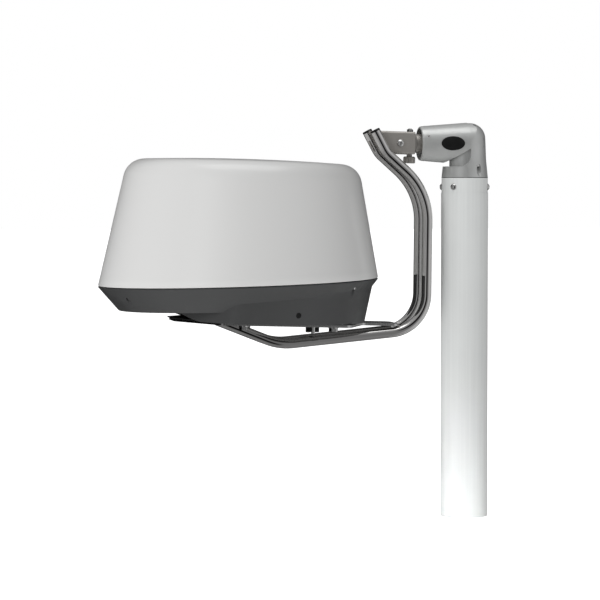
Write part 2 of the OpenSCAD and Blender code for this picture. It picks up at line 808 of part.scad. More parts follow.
module drive_motor() color(BLACK) in_dome() translate([drive_dx, 0, 0]) difference() {
    union() {
        rod(19, floor_z, gear_z - 8);
        rod(8, gear_z - 8, gear_z - 5);
    }
    rod(2.5 + FIT, gear_z - 31, gear_z);
}

module antenna_bracket() color(BRUSHED) in_dome() difference() {
    union() {
        rod(33, gear_z + 16, gear_z + 19);
        for (s = [-1, 1]) {
            translate([-14, s * 60 - 10, gear_z + 19]) cube([3, 20, 70]);
            translate([-14, s * 37 - 33, gear_z + 16]) cube([28, 66, 3]);
        }
    }
    rod(stub_r + 2, gear_z, gear_z + 20);
}

array_z = gear_z + 34;
module antenna_array() color(NYLON) in_dome() difference() {
    translate([-11, -array_l / 2, array_z]) cube([24, array_l, array_h]);
    for (i = [-8:8]) translate([11, i * 20 - 4, array_z + 12]) cube([5, 8, array_h - 24]);
}

module antenna_board() color(BOARD) in_dome()
    translate([13, -70, array_z + 8]) cube([1.6, 140, array_h - 16]);

module rotary_joint() color(BRUSHED) in_dome() {
    rod(8, gear_z + 16.5, array_z);
    ring(16, 8, gear_z + 19, gear_z + 22);
}

module transceiver_box() color(BRUSHED) in_dome() difference() {
    translate([unit_at.x, unit_at.y, floor_z]) cube([unit_size.x, unit_size.y, 30]);
    for (i = [0:7]) translate([unit_at.x + 6 + i * 11.5, unit_at.y - 1, floor_z + 22])
        cube([5, unit_size.y + 2, 20]);
}

module power_board() in_dome() {
    top = floor_z + 9.6;
    translate([unit_at.x, -unit_at.y - unit_size.y, 0]) {
        color(BOARD) translate([0, 0, top - 1.6]) cube([unit_size.x, unit_size.y, 1.6]);
        color(STEEL) for (x = [6, unit_size.x - 6]) for (y = [6, unit_size.y - 6])
            translate([x, y, 0]) rod(3, floor_z, top - 1.6);
        color(BLACK) {
            translate([8, 8, top]) cube([28, 22, 18]);
            for (i = [0:2]) translate([unit_size.x - 14, 14 + i * 18, 0]) rod(6, top, top + 16);
            translate([8, unit_size.y - 22, top]) cube([40, 12, 6]);
        }
    }
}

// Trim lock
module trim_axis() { in_cradle() translate([trim_bolt_x, 0, 0]) children(); }

module trim_bolt() color(STEEL) trim_axis() rod(trim_r, knob_z + 3, bracket_z[1] + 5.6);

module trim_knob() color(BRUSHED) trim_axis() difference() {
    union() {
        rotate_extrude() polygon([
            [0, knob_z], [knob_r - 1, knob_z], [knob_r, knob_z + 1.2],
            [knob_r, knob_z + knob_h - 1.8], [knob_r - 1.6, knob_z + knob_h], [0, knob_z + knob_h]
        ]);
        rod(4.4, knob_z + knob_h, bracket_z[0] - 0.3);
    }
    rod(trim_r, knob_z + 3, 0);
    for (a = [0:30:330]) rotate([0, 0, a]) translate([knob_r + 1, 0, 0])
        rod(2, knob_z - 1, knob_z + knob_h - 2.5);
}

module trim_cap_nut() color(STEEL) trim_axis() difference() {
    hex(9, bracket_z[1] + 0.3, bracket_z[1] + 4.3);
    rod(trim_r, 0, 60);
}

pole_tube();
head_gasket();
pole_head();
pole_screws();
head_top_screw();
barrel_clamp_screws();
barrel_housing();
barrel_grub_screw();
name_badge();
front_bearing();
rear_bearing();
damper_body();
shaft_seal();
seal_retainer();
retainer_screws();
swing_shaft();
damper_vane();
shaft_circlip();
pivot_tongue();
tongue_bush();
box_bracket();
pivot_bolt();
pivot_nut();
pivot_spacers();
near_tube();
far_tube();
tube_caps();
cross_brace();
base_plate();
plate_pad();
radome_bolts();
bolt_washers();
centre_bolts();
radome_base();
rim_gasket();
radome_cover();
cover_screws();
vent_plug();
cable_socket();
pedestal();
main_bearing();
drive_motor();
transceiver_box();
power_board();
trim_bolt();
trim_knob();
trim_cap_nut();
turntable_gear();
antenna_bracket();
antenna_array();
antenna_board();
rotary_joint();
motor_shaft();
motor_pinion();
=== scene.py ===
import json
import math
import bmesh
import bpy
from mathutils import Matrix, Vector

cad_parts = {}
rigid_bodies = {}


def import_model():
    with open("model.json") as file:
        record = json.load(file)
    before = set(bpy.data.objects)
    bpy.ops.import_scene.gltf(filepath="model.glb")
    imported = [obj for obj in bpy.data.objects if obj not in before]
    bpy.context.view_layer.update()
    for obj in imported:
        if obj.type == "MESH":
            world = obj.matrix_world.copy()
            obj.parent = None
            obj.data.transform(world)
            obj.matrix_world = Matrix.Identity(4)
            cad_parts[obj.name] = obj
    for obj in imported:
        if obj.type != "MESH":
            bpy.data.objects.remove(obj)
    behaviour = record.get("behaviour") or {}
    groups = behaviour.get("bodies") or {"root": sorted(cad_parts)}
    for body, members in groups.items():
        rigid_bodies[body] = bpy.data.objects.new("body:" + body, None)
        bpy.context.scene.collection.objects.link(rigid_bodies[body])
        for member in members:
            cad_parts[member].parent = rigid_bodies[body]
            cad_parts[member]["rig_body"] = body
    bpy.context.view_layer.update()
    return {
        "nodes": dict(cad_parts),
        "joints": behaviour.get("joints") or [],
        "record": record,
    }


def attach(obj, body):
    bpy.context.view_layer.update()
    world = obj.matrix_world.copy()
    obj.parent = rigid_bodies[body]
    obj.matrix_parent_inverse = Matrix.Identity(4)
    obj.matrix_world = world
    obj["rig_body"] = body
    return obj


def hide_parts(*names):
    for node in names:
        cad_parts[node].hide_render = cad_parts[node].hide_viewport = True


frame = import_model()

# Radar dome antenna on a self-levelling pole mount: its looks, in metres.
MM = 0.001
joints = {j["name"]: j for j in frame["joints"]}
dome_up = Vector(joints["antenna_spin"]["axis"])
trim = math.atan2(dome_up.x, dome_up.z)
cradle = Matrix.Translation(joints["cradle_trim"]["pos_m"]) @ Matrix.Rotation(trim, 4, "Y")
dome = Matrix.Translation(joints["antenna_spin"]["pos_m"]) @ Matrix.Rotation(trim, 4, "Y")

# Camera: azimuth 0 looks along +Y
AZIMUTH = math.radians(-10.5)
ELEVATION = math.radians(2.5)
DISTANCE = 4.018
LENS = 150  # millimetres, as is the sensor's width
SENSOR = 36
AIM = Vector((-0.2719, 0, 0.3538))

FLOOR_HALF = 30
FLOOR_DROP = 0.0005  # keeps the floor just under the pole's cut end

# Radome, in its own frame: origin on its axis in the parting plane
DOME_R = 0.2235
DOME_H = 0.1955
SIDE_LEAN = math.radians(11.53)
SHOULDER_R = 0.034
SHOULDER_END = math.radians(89) - 0.02
SHOULDER_DROP = 0.004         # how far the crown's edge lies below the apex
CROWN_R = 3.2
PARTING = math.radians(3.39)  # slant of the joint between cover and base
SHELL = 0.0035
SEAM = 0.0006
LIP_INSET = 0.0009            # the cover's rim is rounded by this much
LIP_RISE = 0.0001
RIM_RISE = 0.0012
COVER_SEGMENTS = 256
SIDE_LEVELS = 14
SHOULDER_LEVELS = 28
CROWN_LEVELS = 16

# Cradle tubes: corners of the centreline (x, z) in the cradle frame, each with its bend radius
TUBE_R = 0.008
TUBE_Y = 0.030
TUBE_PATH = [
    (-0.0435, 0.0173, 0), (-0.0245, -0.0162, 0.040), (0.0455, -0.0752, 0.107),
    (0.0495, -0.2972, 0.062), (-0.1895, -0.3272, 0.090), (-0.3300, -0.2763, 0),
]
TUBE_SEGMENTS = 64
BEND_STEP = math.radians(2)
PLATE_Z = -0.2933
BRACKET_Y = 0.022

# Weld beads, in millimetres. Those beside a tube's top: offset from its centreline, start and
# end along it, and name.
BEAD_SEGMENTS = 10
BRACKET_BEAD_R = 1.5
PLATE_BEAD_R = 1.3
BRACKET_BEADS = ((6.2, 2, 33, "right"), (-6.2, 13, 33, "left"))


# ---------------------------------------------------------------- camera, floor and light
def make_camera():
    data = bpy.data.cameras.new("camera")
    data.lens = LENS
    data.sensor_width = SENSOR
    data.clip_end = 100
    camera = bpy.data.objects.new("camera", data)
    bpy.context.scene.collection.objects.link(camera)
    back = Vector((
        math.sin(AZIMUTH) * math.cos(ELEVATION), -math.cos(AZIMUTH) * math.cos(ELEVATION),
        math.sin(ELEVATION),
    ))
    camera.location = AIM + back * DISTANCE
    camera.rotation_euler = (-back).to_track_quat("-Z", "Y").to_euler()
    bpy.context.scene.camera = camera


def make_floor():
    """A pale floor that only the camera sees, so it tints neither metal nor paint."""
    mesh = bpy.data.meshes.new("floor")
    corners = [(-1, -1), (1, -1), (1, 1), (-1, 1)]
    points = [(x * FLOOR_HALF, y * FLOOR_HALF, -FLOOR_DROP) for x, y in corners]
    mesh.from_pydata(points, [], [(0, 1, 2, 3)])
    floor = bpy.data.objects.new("floor", mesh)
    bpy.context.scene.collection.objects.link(floor)
    material = bpy.data.materials.new("floor")
    material.use_nodes = True
    shader = material.node_tree.nodes["Principled BSDF"]
    shader.inputs["Base Color"].default_value = (0.86, 0.86, 0.86, 1)
    shader.inputs["Roughness"].default_value = 0.9
    shader.inputs["Specular IOR Level"].default_value = 0.1
    shader.inputs["Emission Color"].default_value = (1, 1, 1, 1)
    shader.inputs["Emission Strength"].default_value = 0.72
    mesh.materials.append(material)
    floor.visible_glossy = False
    floor.visible_diffuse = False


# Grey of the studio's walls by azimuth: 0 and 1 are towards the camera, 0.25 is -X,
# 0.5 is behind the object and 0.75 is +X. Polished metal mirrors the first list, with its
# dark screens, and matt surfaces are lit by the second.
REFLECTED = [
    (0.0, 0.0), (0.035, 0.0), (0.06, 0.14), (0.09, 0.42), (0.135, 0.42), (0.155, 0.03),
    (0.19, 0.0), (0.45, 0.0), (0.55, 0.04), (0.66, 0.10), (0.72, 0.24), (0.78, 0.56),
    (0.84, 0.66), (0.90, 0.52), (0.93, 0.28), (0.955, 0.22), (0.973, 0.22), (0.985, 0.0),
]
DIFFUSED = [
    (0.0, 0.50), (0.10, 0.60), (0.18, 0.98), (0.30, 1.1), (0.45, 0.78), (0.60, 0.54), (0.75, 0.52),
    (0.90, 0.46),
]
MIRRORED_CEILING = (0.45, 0.45, 0.455, 1)
MIRRORED_TABLE = (0.24, 0.24, 0.24, 1)
LIT_TABLE = (2.1, 2.1, 2.1, 1)
WHITE = (1.0, 1.0, 1.0, 1)


def wall_ramp(tree, place, stops):
    """Greys round the horizon, from (place, value) stops."""
    walls = tree.nodes.new("ShaderNodeValToRGB")
    ramp = walls.color_ramp
    while len(ramp.elements) < len(stops):
        ramp.elements.new(0.5)
    for element, (position, value) in zip(ramp.elements, stops):
        element.position = position
        element.color = (value, value, value * 1.01, 1)
    tree.links.new(place, walls.inputs[0])
    return walls.outputs[0]


def fade(tree, value, start, end):
    """0 to 1 while value goes smoothly from start to end."""
    ramp = tree.nodes.new("ShaderNodeMapRange")
    ramp.interpolation_type = "SMOOTHSTEP"
    ramp.inputs["From Min"].default_value = start
    ramp.inputs["From Max"].default_value = end
    tree.links.new(value, ramp.inputs["Value"])
    return ramp.outputs[0]


def blend_colours(tree, factor, low, high):
    """Mix of two colours, each a socket or a plain value."""
    mix = tree.nodes.new("ShaderNodeMix")
    mix.data_type = "RGBA"
    tree.links.new(factor, mix.inputs["Factor"])
    for name, value in (("A", low), ("B", high)):
        if isinstance(value, tuple):
            mix.inputs[name].default_value = value
        else:
            tree.links.new(value, mix.inputs[name])
    return mix.outputs["Result"]


def make_world():
    """A white studio with grey walls, and dark screens that only polished metal shows."""
    world = bpy.data.worlds.new("studio")
    bpy.context.scene.world = world
    world.use_nodes = True
    tree = world.node_tree
    shader = tree.nodes["Background"]
    coords = tree.nodes.new("ShaderNodeTexCoord")
    split = tree.nodes.new("ShaderNodeSeparateXYZ")
    tree.links.new(coords.outputs["Generated"], split.inputs[0])
    turn = tree.nodes.new("ShaderNodeMath")
    turn.operation = "ARCTAN2"
    tree.links.new(split.outputs["X"], turn.inputs[0])
    tree.links.new(split.outputs["Y"], turn.inputs[1])
    share = tree.nodes.new("ShaderNodeMapRange")
    share.inputs["From Min"].default_value = -math.pi
    share.inputs["From Max"].default_value = math.pi
    tree.links.new(turn.outputs[0], share.inputs["Value"])
    up = split.outputs["Z"]
    walls = wall_ramp(tree, share.outputs[0], REFLECTED)
    above = blend_colours(tree, fade(tree, up, 0.35, 0.85), walls, MIRRORED_CEILING)
    reflected = blend_colours(tree, fade(tree, up, -0.55, -0.95), above, MIRRORED_TABLE)
    matt_walls = wall_ramp(tree, share.outputs[0], DIFFUSED)
    diffused = blend_colours(tree, fade(tree, up, -0.35, -0.85), matt_walls, LIT_TABLE)
    path = tree.nodes.new("ShaderNodeLightPath")
    lit = blend_colours(tree, path.outputs["Is Glossy Ray"], diffused, reflected)
    seen = blend_colours(tree, path.outputs["Is Camera Ray"], lit, WHITE)
    tree.links.new(seen, shader.inputs["Color"])
    shader.inputs["Strength"].default_value = 1.0


def make_light(name, place, aim, size, power, spread=180, mirrored=False):
    """A rectangular lamp in watts; only a mirrored one shows in polished metal."""
    data = bpy.data.lights.new(name, "AREA")
    data.shape = "RECTANGLE"
    data.size, data.size_y = size
    data.energy = power
    data.spread = math.radians(spread)
    light = bpy.data.objects.new(name, data)
    bpy.context.scene.collection.objects.link(light)
    light.location = place
    light.rotation_euler = (Vector(aim) - Vector(place)).to_track_quat("-Z", "Y").to_euler()
    light.visible_camera = False
    light.visible_glossy = mirrored


def make_lights():
    """Key from the left, fill along the pole and at its foot, and a soft top light."""
    centre = (-0.25, 0, 0.4)
    make_light("key", (-3.0, -2.6, 1.1), centre, (1.2, 2.2), 20)
    make_light("pole", (-1.8, -1.9, 0.1), (0.0, 0.0, 0.0), (0.5, 0.5), 11)
    make_light("foot", (-0.9, -2.4, 0.1), (0.0, 0.0, -0.12), (0.2, 0.2), 0.45, 15)
    make_light("top", (-0.3, -0.4, 3.2), centre, (2.4, 1.6), 21, mirrored=True)


# ---------------------------------------------------------------- materials
class Surface:
    """A Principled material whose detail comes from noise in the object's own coordinates."""

    def __init__(self, name, colour, metallic=0.0, roughness=0.5, **uniform):
        self.material = bpy.data.materials.new(name)
        self.material.use_nodes = True
        self.tree = self.material.node_tree
        self.shader = self.tree.nodes["Principled BSDF"]
        self.colour = colour
        self.shader.inputs["Base Color"].default_value = (*colour, 1)
        self.shader.inputs["Metallic"].default_value = metallic
        self.shader.inputs["Roughness"].default_value = roughness
        for socket, value in uniform.items():
            self.shader.inputs[socket.replace("_", " ")].default_value = value
        self.coords = self.tree.nodes.new("ShaderNodeTexCoord")

    def noise(self, scale, stretch=(1, 1, 1), detail=4, low=0.35, high=0.65, tilt=0):
        """Noise widened so that low and high become 0 and 1."""
        mapping = self.tree.nodes.new("ShaderNodeMapping")
        mapping.inputs["Scale"].default_value = stretch
        mapping.inputs["Rotation"].default_value = (0, tilt, 0)
        self.tree.links.new(self.coords.outputs["Object"], mapping.inputs["Vector"])
        node = self.tree.nodes.new("ShaderNodeTexNoise")
        node.inputs["Scale"].default_value = scale
        node.inputs["Detail"].default_value = detail
        self.tree.links.new(mapping.outputs[0], node.inputs["Vector"])
        spread = self.tree.nodes.new("ShaderNodeMapRange")
        spread.inputs["From Min"].default_value = low
        spread.inputs["From Max"].default_value = high
        self.tree.links.new(node.outputs[0], spread.inputs["Value"])
        return spread.outputs[0]

    def tint(self, value, other, amount=1.0):
        """Mixes the surface's colour towards another one where value is high."""
        mix = self.tree.nodes.new("ShaderNodeMix")
        mix.data_type = "RGBA"
        socket = self.shader.inputs["Base Color"]
        if socket.links:
            self.tree.links.new(socket.links[0].from_socket, mix.inputs["A"])
        else:
            mix.inputs["A"].default_value = (*self.colour, 1)
        mix.inputs["B"].default_value = (*other, 1)
        scaled = self.tree.nodes.new("ShaderNodeMath")
        scaled.operation = "MULTIPLY"
        scaled.use_clamp = True
        scaled.inputs[1].default_value = amount
        self.tree.links.new(value, scaled.inputs[0])
        self.tree.links.new(scaled.outputs[0], mix.inputs["Factor"])
        self.tree.links.new(mix.outputs["Result"], socket)

    def rough(self, value, low, high):
        """Roughness from low to high as value goes from 0 to 1."""
        spread = self.tree.nodes.new("ShaderNodeMapRange")
        spread.inputs["To Min"].default_value = low
        spread.inputs["To Max"].default_value = high
        self.tree.links.new(value, spread.inputs["Value"])
        self.tree.links.new(spread.outputs[0], self.shader.inputs["Roughness"])

    def bump(self, value, depth, strength=1.0):
        """Relief of this depth in metres."""
        node = self.tree.nodes.new("ShaderNodeBump")
        node.inputs["Distance"].default_value = depth
        node.inputs["Strength"].default_value = strength
        self.tree.links.new(value, node.inputs["Height"])
        self.tree.links.new(node.outputs[0], self.shader.inputs["Normal"])


def shaded(colour, factor):
    """The colour made darker or lighter."""
    return tuple(min(1, c * factor) for c in colour)


def gelcoat():
    """Glossy moulded cover: faint mottling and orange peel."""
    colour = (0.66, 0.66, 0.65)
    s = Surface("gelcoat", colour, 0, 0.3, Coat_Weight=0.35, Coat_Roughness=0.12)
    s.tint(s.noise(3, (1, 1, 0.5), detail=0, low=0.1, high=0.9), shaded(colour, 0.96), 1.0)
    s.rough(s.noise(9, detail=2, low=0.2, high=0.8), 0.29, 0.36)
    s.bump(s.noise(420, detail=2, low=0.2, high=0.8), 0.00006, 0.5)
    return s.material


def base_plastic():
    """Dark moulded base with a fine spark-eroded grain."""
    colour = (0.050, 0.051, 0.051)
    cloud = (0.056, 0.057, 0.058)
    dust = (0.08, 0.08, 0.077)
    s = Surface("base_plastic", colour, 0, 0.42, Specular_IOR_Level=0.4)
    s.tint(s.noise(7, detail=2, low=0.2, high=0.8), cloud, 0.8)
    s.tint(s.noise(160, detail=5, low=0.6, high=0.8), dust, 0.25)
    s.rough(s.noise(30), 0.36, 0.5)
    s.bump(s.noise(1500, detail=3, low=0.2, high=0.8), 0.00008, 0.6)
    return s.material


def tube_steel():
    """Mirror-polished stainless tube: faint smears and small pits."""
    colour = (0.64, 0.63, 0.62)
    smear = (0.58, 0.575, 0.57)
    pit = (0.30, 0.29, 0.28)
    s = Surface("tube_steel", colour, 1.0, 0.05)
    s.tint(s.noise(25, detail=3), smear, 0.5)
    s.tint(s.noise(700, detail=2, low=0.72, high=0.8), pit, 0.5)
    s.rough(s.noise(60, detail=6), 0.03, 0.06)
    s.bump(s.noise(700, detail=3, low=0.2, high=0.8), 0.00001, 0.2)
    return s.material


def brushed(name, colour, low=0.29, high=0.44, stretch=(0.06, 1, 1), tilt=0.0, metallic=1.0):
    """Brushed metal: long brush lines and handling marks."""
    s = Surface(name, colour, metallic, 0.35)
    lines = s.noise(1800, stretch, detail=5, low=0.25, high=0.75, tilt=tilt)
    s.tint(lines, shaded(colour, 0.78), 0.55)
    s.tint(s.noise(40, detail=5, low=0.5, high=0.75), shaded(colour, 0.86), 0.6)
    s.rough(lines, low, high)
    s.bump(lines, 0.00004, 0.5)
    return s.material


def cast_alloy():
    """Bead-blasted aluminium casting."""
    colour = (0.56, 0.57, 0.56)
    s = Surface("cast_alloy", colour, 0.5, 0.34)
    s.tint(s.noise(30, detail=5), shaded(colour, 0.86), 0.6)
    s.tint(s.noise(900, detail=3, low=0.6, high=0.8), shaded(colour, 0.7), 0.4)
    s.rough(s.noise(90, detail=5), 0.28, 0.40)
    s.bump(s.noise(2200, detail=3, low=0.2, high=0.8), 0.00007, 0.7)
    return s.material


def pole_paint():
    """Painted pole: soft satin with faint drawn lines along its length."""
    colour = (0.68, 0.695, 0.685)
    s = Surface("pole_paint", colour, 0, 0.42, Specular_IOR_Level=0.25)
    s.tint(s.noise(260, (1, 1, 0.012), detail=5), shaded(colour, 0.93), 0.7)
    s.tint(s.noise(12, detail=5, low=0.5, high=0.8), shaded(colour, 1.05), 0.5)
    s.rough(s.noise(60, (1, 1, 0.05)), 0.36, 0.5)
    s.bump(s.noise(900, (1, 1, 0.02), detail=3, low=0.2, high=0.8), 0.00003, 0.4)
    return s.material


def bright_steel(name="fastener_steel", colour=(0.70, 0.70, 0.69), low=0.12, high=0.28):
    """Bright fasteners and turned parts: fine scratches and a little staining."""
    s = Surface(name, colour, 1.0, 0.2)
    s.tint(s.noise(500, detail=4, low=0.5, high=0.75), shaded(colour, 0.7), 0.5)
    s.rough(s.noise(350, detail=4), low, high)
    s.bump(s.noise(1600, (1, 1, 0.3), detail=3, low=0.2, high=0.8), 0.00002, 0.5)
    return s.material


def dark_polymer(name, colour, low, high, grain):
    """Black plastic, rubber or paint: fine grain and patches of dust."""
    s = Surface(name, colour, 0, 0.5, Specular_IOR_Level=0.25)
    s.tint(s.noise(60, detail=6, low=0.55, high=0.8), shaded(colour, 2.2), 0.35)
    s.rough(s.noise(120), low, high)
    s.bump(s.noise(grain, detail=3, low=0.2, high=0.8), 0.00006, 0.6)
    return s.material


def nylon():
    """Off-white moulded nylon, slightly translucent."""
    colour = (0.78, 0.78, 0.72)
    s = Surface("nylon", colour, 0, 0.4, Subsurface_Weight=0.1, Subsurface_Scale=0.002)
    s.tint(s.noise(40, detail=5), shaded(colour, 0.9), 0.5)
    s.rough(s.noise(80), 0.32, 0.5)
    s.bump(s.noise(1200, detail=2, low=0.2, high=0.8), 0.00004, 0.4)
    return s.material


def circuit_board():
    """Green board with raised copper runs and gilt pads."""
    colour = (0.02, 0.16, 0.06)
    runs = (0.03, 0.24, 0.10)
    gilt = (0.55, 0.45, 0.22)
    s = Surface("circuit_board", colour, 0, 0.3, Coat_Weight=0.4)
    s.tint(s.noise(420, (1, 0.15, 1), detail=1, low=0.5, high=0.53), runs, 0.8)
    s.tint(s.noise(300, (0.15, 1, 1), detail=1, low=0.62, high=0.64), gilt, 0.8)
    s.rough(s.noise(200), 0.22, 0.4)
    s.bump(s.noise(420, (1, 0.15, 1), detail=1, low=0.5, high=0.53), 0.00003, 0.6)
    return s.material


def bead_steel():
    """Weld metal: bright ripples with a little heat colour."""
    colour = (0.74, 0.72, 0.70)
    heat = (0.42, 0.33, 0.24)
    s = Surface("weld_steel", colour, 1.0, 0.25)
    s.tint(s.noise(260, detail=4, low=0.5, high=0.7), heat, 0.6)
    s.rough(s.noise(500), 0.16, 0.4)
    s.bump(s.noise(900, detail=4, low=0.2, high=0.8), 0.00012, 0.8)
    return s.material


def make_materials():
    """Every look by name; the names of the CAD pieces' slots are among them."""
    return {
        "cover_gelcoat": gelcoat(),
        "base_plastic": base_plastic(),
        "tube_steel": tube_steel(),
        "plate_steel": brushed("plate_steel", (0.60, 0.60, 0.595), 0.2, 0.36, (1, 0.05, 1)),
        "bracket_steel": brushed("bracket_steel", (0.46, 0.44, 0.41), tilt=trim, metallic=0.6),
        "cast_alloy": cast_alloy(),
        "pole_paint": pole_paint(),
        "fastener_steel": bright_steel(),
        "turned_steel": bright_steel("turned_steel", (0.62, 0.62, 0.61), 0.18, 0.34),
        "black_plastic": dark_polymer("black_plastic", (0.008, 0.008, 0.008), 0.35, 0.5, 900),
        "black_rubber": dark_polymer("black_rubber", (0.014, 0.014, 0.014), 0.55, 0.8, 600),
        "nylon": nylon(),
        "sheet_alloy": brushed("sheet_alloy", (0.72, 0.73, 0.74), 0.3, 0.45, (1, 0.06, 1)),
        "motor_paint": dark_polymer("motor_paint", (0.02, 0.02, 0.022), 0.3, 0.45, 500),
        "circuit_board": circuit_board(),
        "bronze": brushed("bronze", (0.66, 0.50, 0.28), 0.22, 0.4, (1, 1, 0.08)),
        "weld_steel": bead_steel(),
    }


# ---------------------------------------------------------------- pieces
def add_piece(name, points, faces, look, place):
    """A smooth piece of the cradle, its points given in the frame called place."""
    mesh = bpy.data.meshes.new(name)
    mesh.from_pydata([tuple(p) for p in points], [], faces)
    mesh.transform(place)
    mesh.materials.append(look)
    mesh.polygons.foreach_set("use_smooth", [True] * len(mesh.polygons))
    piece = bpy.data.objects.new(name, mesh)
    bpy.context.scene.collection.objects.link(piece)
    bm = bmesh.new()
    bm.from_mesh(mesh)
    bmesh.ops.recalc_face_normals(bm, faces=bm.faces)
    bm.to_mesh(mesh)
    bm.free()
    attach(piece, "cradle")
    return piece


def rings_mesh(rings):
    """Points of rings of equal length, and the faces between them."""
    n = len(rings[0])
    points = [p for ring in rings for p in ring]
    faces = []
    for a in range(0, (len(rings) - 1) * n, n):
        b = a + n
        faces += [(a + k, a + (k + 1) % n, b + (k + 1) % n, b + k) for k in range(n)]
    return points, faces


def end_faces(points, n):
    """The two flat ends of a run of rings with n points each."""
    return [tuple(range(n)), tuple(range(len(points) - 1, len(points) - n - 1, -1))]


def cover_profile(inset):
    """Foot radius of the cover's side, where the side ends, the shoulder and crown, the apex."""
    cone = math.tan(SIDE_LEAN)
    r0 = DOME_R - inset
    top = DOME_H - inset
    bend = SHOULDER_R - inset
    cr = r0 - bend / math.cos(SIDE_LEAN) - cone * (top - bend - SHOULDER_DROP)
    cz = top - bend - cr * cr / (2 * CROWN_R)
    side_end = (cr + bend * math.cos(SIDE_LEAN), cz + bend * math.sin(SIDE_LEAN))
    turn = (SHOULDER_END - SIDE_LEAN) / SHOULDER_LEVELS
    arc = [SIDE_LEAN + turn * i for i in range(1, SHOULDER_LEVELS + 1)]
    shoulder = [(cr + bend * math.cos(a), cz + bend * math.sin(a)) for a in arc]
    radii = [cr * i / CROWN_LEVELS for i in range(CROWN_LEVELS - 1, 0, -1)]
    crown = [(r, top - r ** 2 / (2 * CROWN_R)) for r in radii]
    return r0, side_end, shoulder + crown, top


def cover_rings(inset, rim_inset=0.0, rim_rise=0.0):
    """Rings of the cover from its slanted rim to the crown, and the apex's height."""
    r0, (end_r, end_z), rest, top = cover_profile(inset)
    cone = math.tan(SIDE_LEAN)
    slant = math.tan(PARTING)
    lift = SEAM / math.cos(PARTING)
    angles = [2 * math.pi * k / COVER_SEGMENTS for k in range(COVER_SEGMENTS)]
    rim = []
    for a in angles:
        z = (slant * r0 * math.cos(a) + lift) / (1 + slant * cone * math.cos(a)) + rim_rise
        rim.append((r0 - cone * z - rim_inset, z))
    rings = []
    for i in range(SIDE_LEVELS + 1):
        t = i / SIDE_LEVELS
        ring = []
        for a, (r, z) in zip(angles, rim):
            radius = r + (end_r - r) * t
            ring.append((radius * math.cos(a), radius * math.sin(a), z + (end_z - z) * t))
        rings.append(ring)
    rings += [[(r * math.cos(a), r * math.sin(a), z) for a in angles] for r, z in rest]
    return rings, top


def make_cover(look):
    """The cover as a closed shell: outside, rounded rim, inside."""
    outer, apex = cover_rings(0.0, rim_rise=RIM_RISE)
    lip, _ = cover_rings(0.0, LIP_INSET, LIP_RISE)
    inner, low_apex = cover_rings(SHELL)
    points, faces = rings_mesh(list(reversed(inner)) + [lip[0]] + outer)
    n = COVER_SEGMENTS
    last = len(points) - n
    points += [(0, 0, low_apex), (0, 0, apex)]
    faces += [(k, (k + 1) % n, len(points) - 2) for k in range(n)]
    faces += [(last + (k + 1) % n, last + k, len(points) - 1) for k in range(n)]
    piece = add_piece("radome_cover_shell", points, faces, look, dome)
    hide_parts("radome_cover")


def unit(v):
    return v / v.length


def turned(v, angle):
    """A 2-D vector turned by an angle."""
    c, s = math.cos(angle), math.sin(angle)
    return Vector((v.x * c - v.y * s, v.x * s + v.y * c))


def tube_stations():
    """Points and headings along the tube's centreline in the cradle frame's XZ plane."""
    corners = [Vector((x, z)) for x, z, _ in TUBE_PATH]
    runs = [unit(b - a) for a, b in zip(corners, corners[1:])]
    stations = [(corners[0], runs[0])]
    for i in range(1, len(corners) - 1):
        bend = TUBE_PATH[i][2]
        before, after = runs[i - 1], runs[i]
        cross = before.x * after.y - before.y * after.x
        turn = math.atan2(cross, before.dot(after))
        start = corners[i] - before * bend * math.tan(abs(turn) / 2)
        inward = turned(before, math.copysign(math.pi / 2, turn))
        centre = start + inward * bend
        steps = max(4, int(abs(turn) / BEND_STEP))
        for k in range(steps + 1):
            a = turn * k / steps
            stations.append((centre - turned(inward, a) * bend, turned(before, a)))
    stations.append((corners[-1], runs[-1]))
    return stations


def make_tube(name, y, node, look):
    """One polished tube, mitred against the underside of the plate."""
    rings = []
    stations = tube_stations()
    for i, (at, heading) in enumerate(stations):
        across = Vector((-heading.y, heading.x))
        ring = []
        for k in range(TUBE_SEGMENTS):
            a = 2 * math.pi * k / TUBE_SEGMENTS
            flat = at + across * TUBE_R * math.cos(a)
            if i == len(stations) - 1:
                flat += heading * ((PLATE_Z - flat.y) / heading.y)
            ring.append((flat.x, y + TUBE_R * math.sin(a), flat.y))
        rings.append(ring)
    points, faces = rings_mesh(rings)
    faces += end_faces(points, TUBE_SEGMENTS)
    piece = add_piece(name, points, faces, look, cradle)
    piece.data.set_sharp_from_angle(angle=math.radians(50))
    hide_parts(node)


def along(path, distance):
    """Point and heading at a distance along a polyline."""
    for a, b in zip(path, path[1:]):
        length = (b - a).length
        if distance <= length or b is path[-1]:
            return a + (b - a) * min(1, distance / length), unit(b - a)
        distance -= length


def make_weld(name, path, radius, look, closed=False):
    """A ripple-sided weld bead along a path of points in the cradle frame."""
    path = [Vector(p) for p in path]
    pitch = radius * 0.9
    total = sum((b - a).length for a, b in zip(path, path[1:]))
    steps = max(8, int(total / (pitch / 5)))
    rings = []
    for i in range(steps + 1):
        distance = total * i / steps
        at, heading = along(path, distance)
        side = unit(heading.cross(Vector((0.31, 0.62, 0.72))))
        up = heading.cross(side)
        swell = 0.72 + 0.28 * math.sin(math.pi * (distance / pitch % 1)) ** 0.6
        ends = 1 if closed else min(1, 0.35 + 8 * min(i, steps - i) / steps)
        rings.append([
            at + (side * math.cos(a) + up * math.sin(a)) * radius * swell * ends
            for a in (2 * math.pi * k / BEAD_SEGMENTS for k in range(BEAD_SEGMENTS))
        ])
    points, faces = rings_mesh(rings)
    faces += end_faces(points, BEAD_SEGMENTS)
    add_piece(name, points, faces, look, cradle)


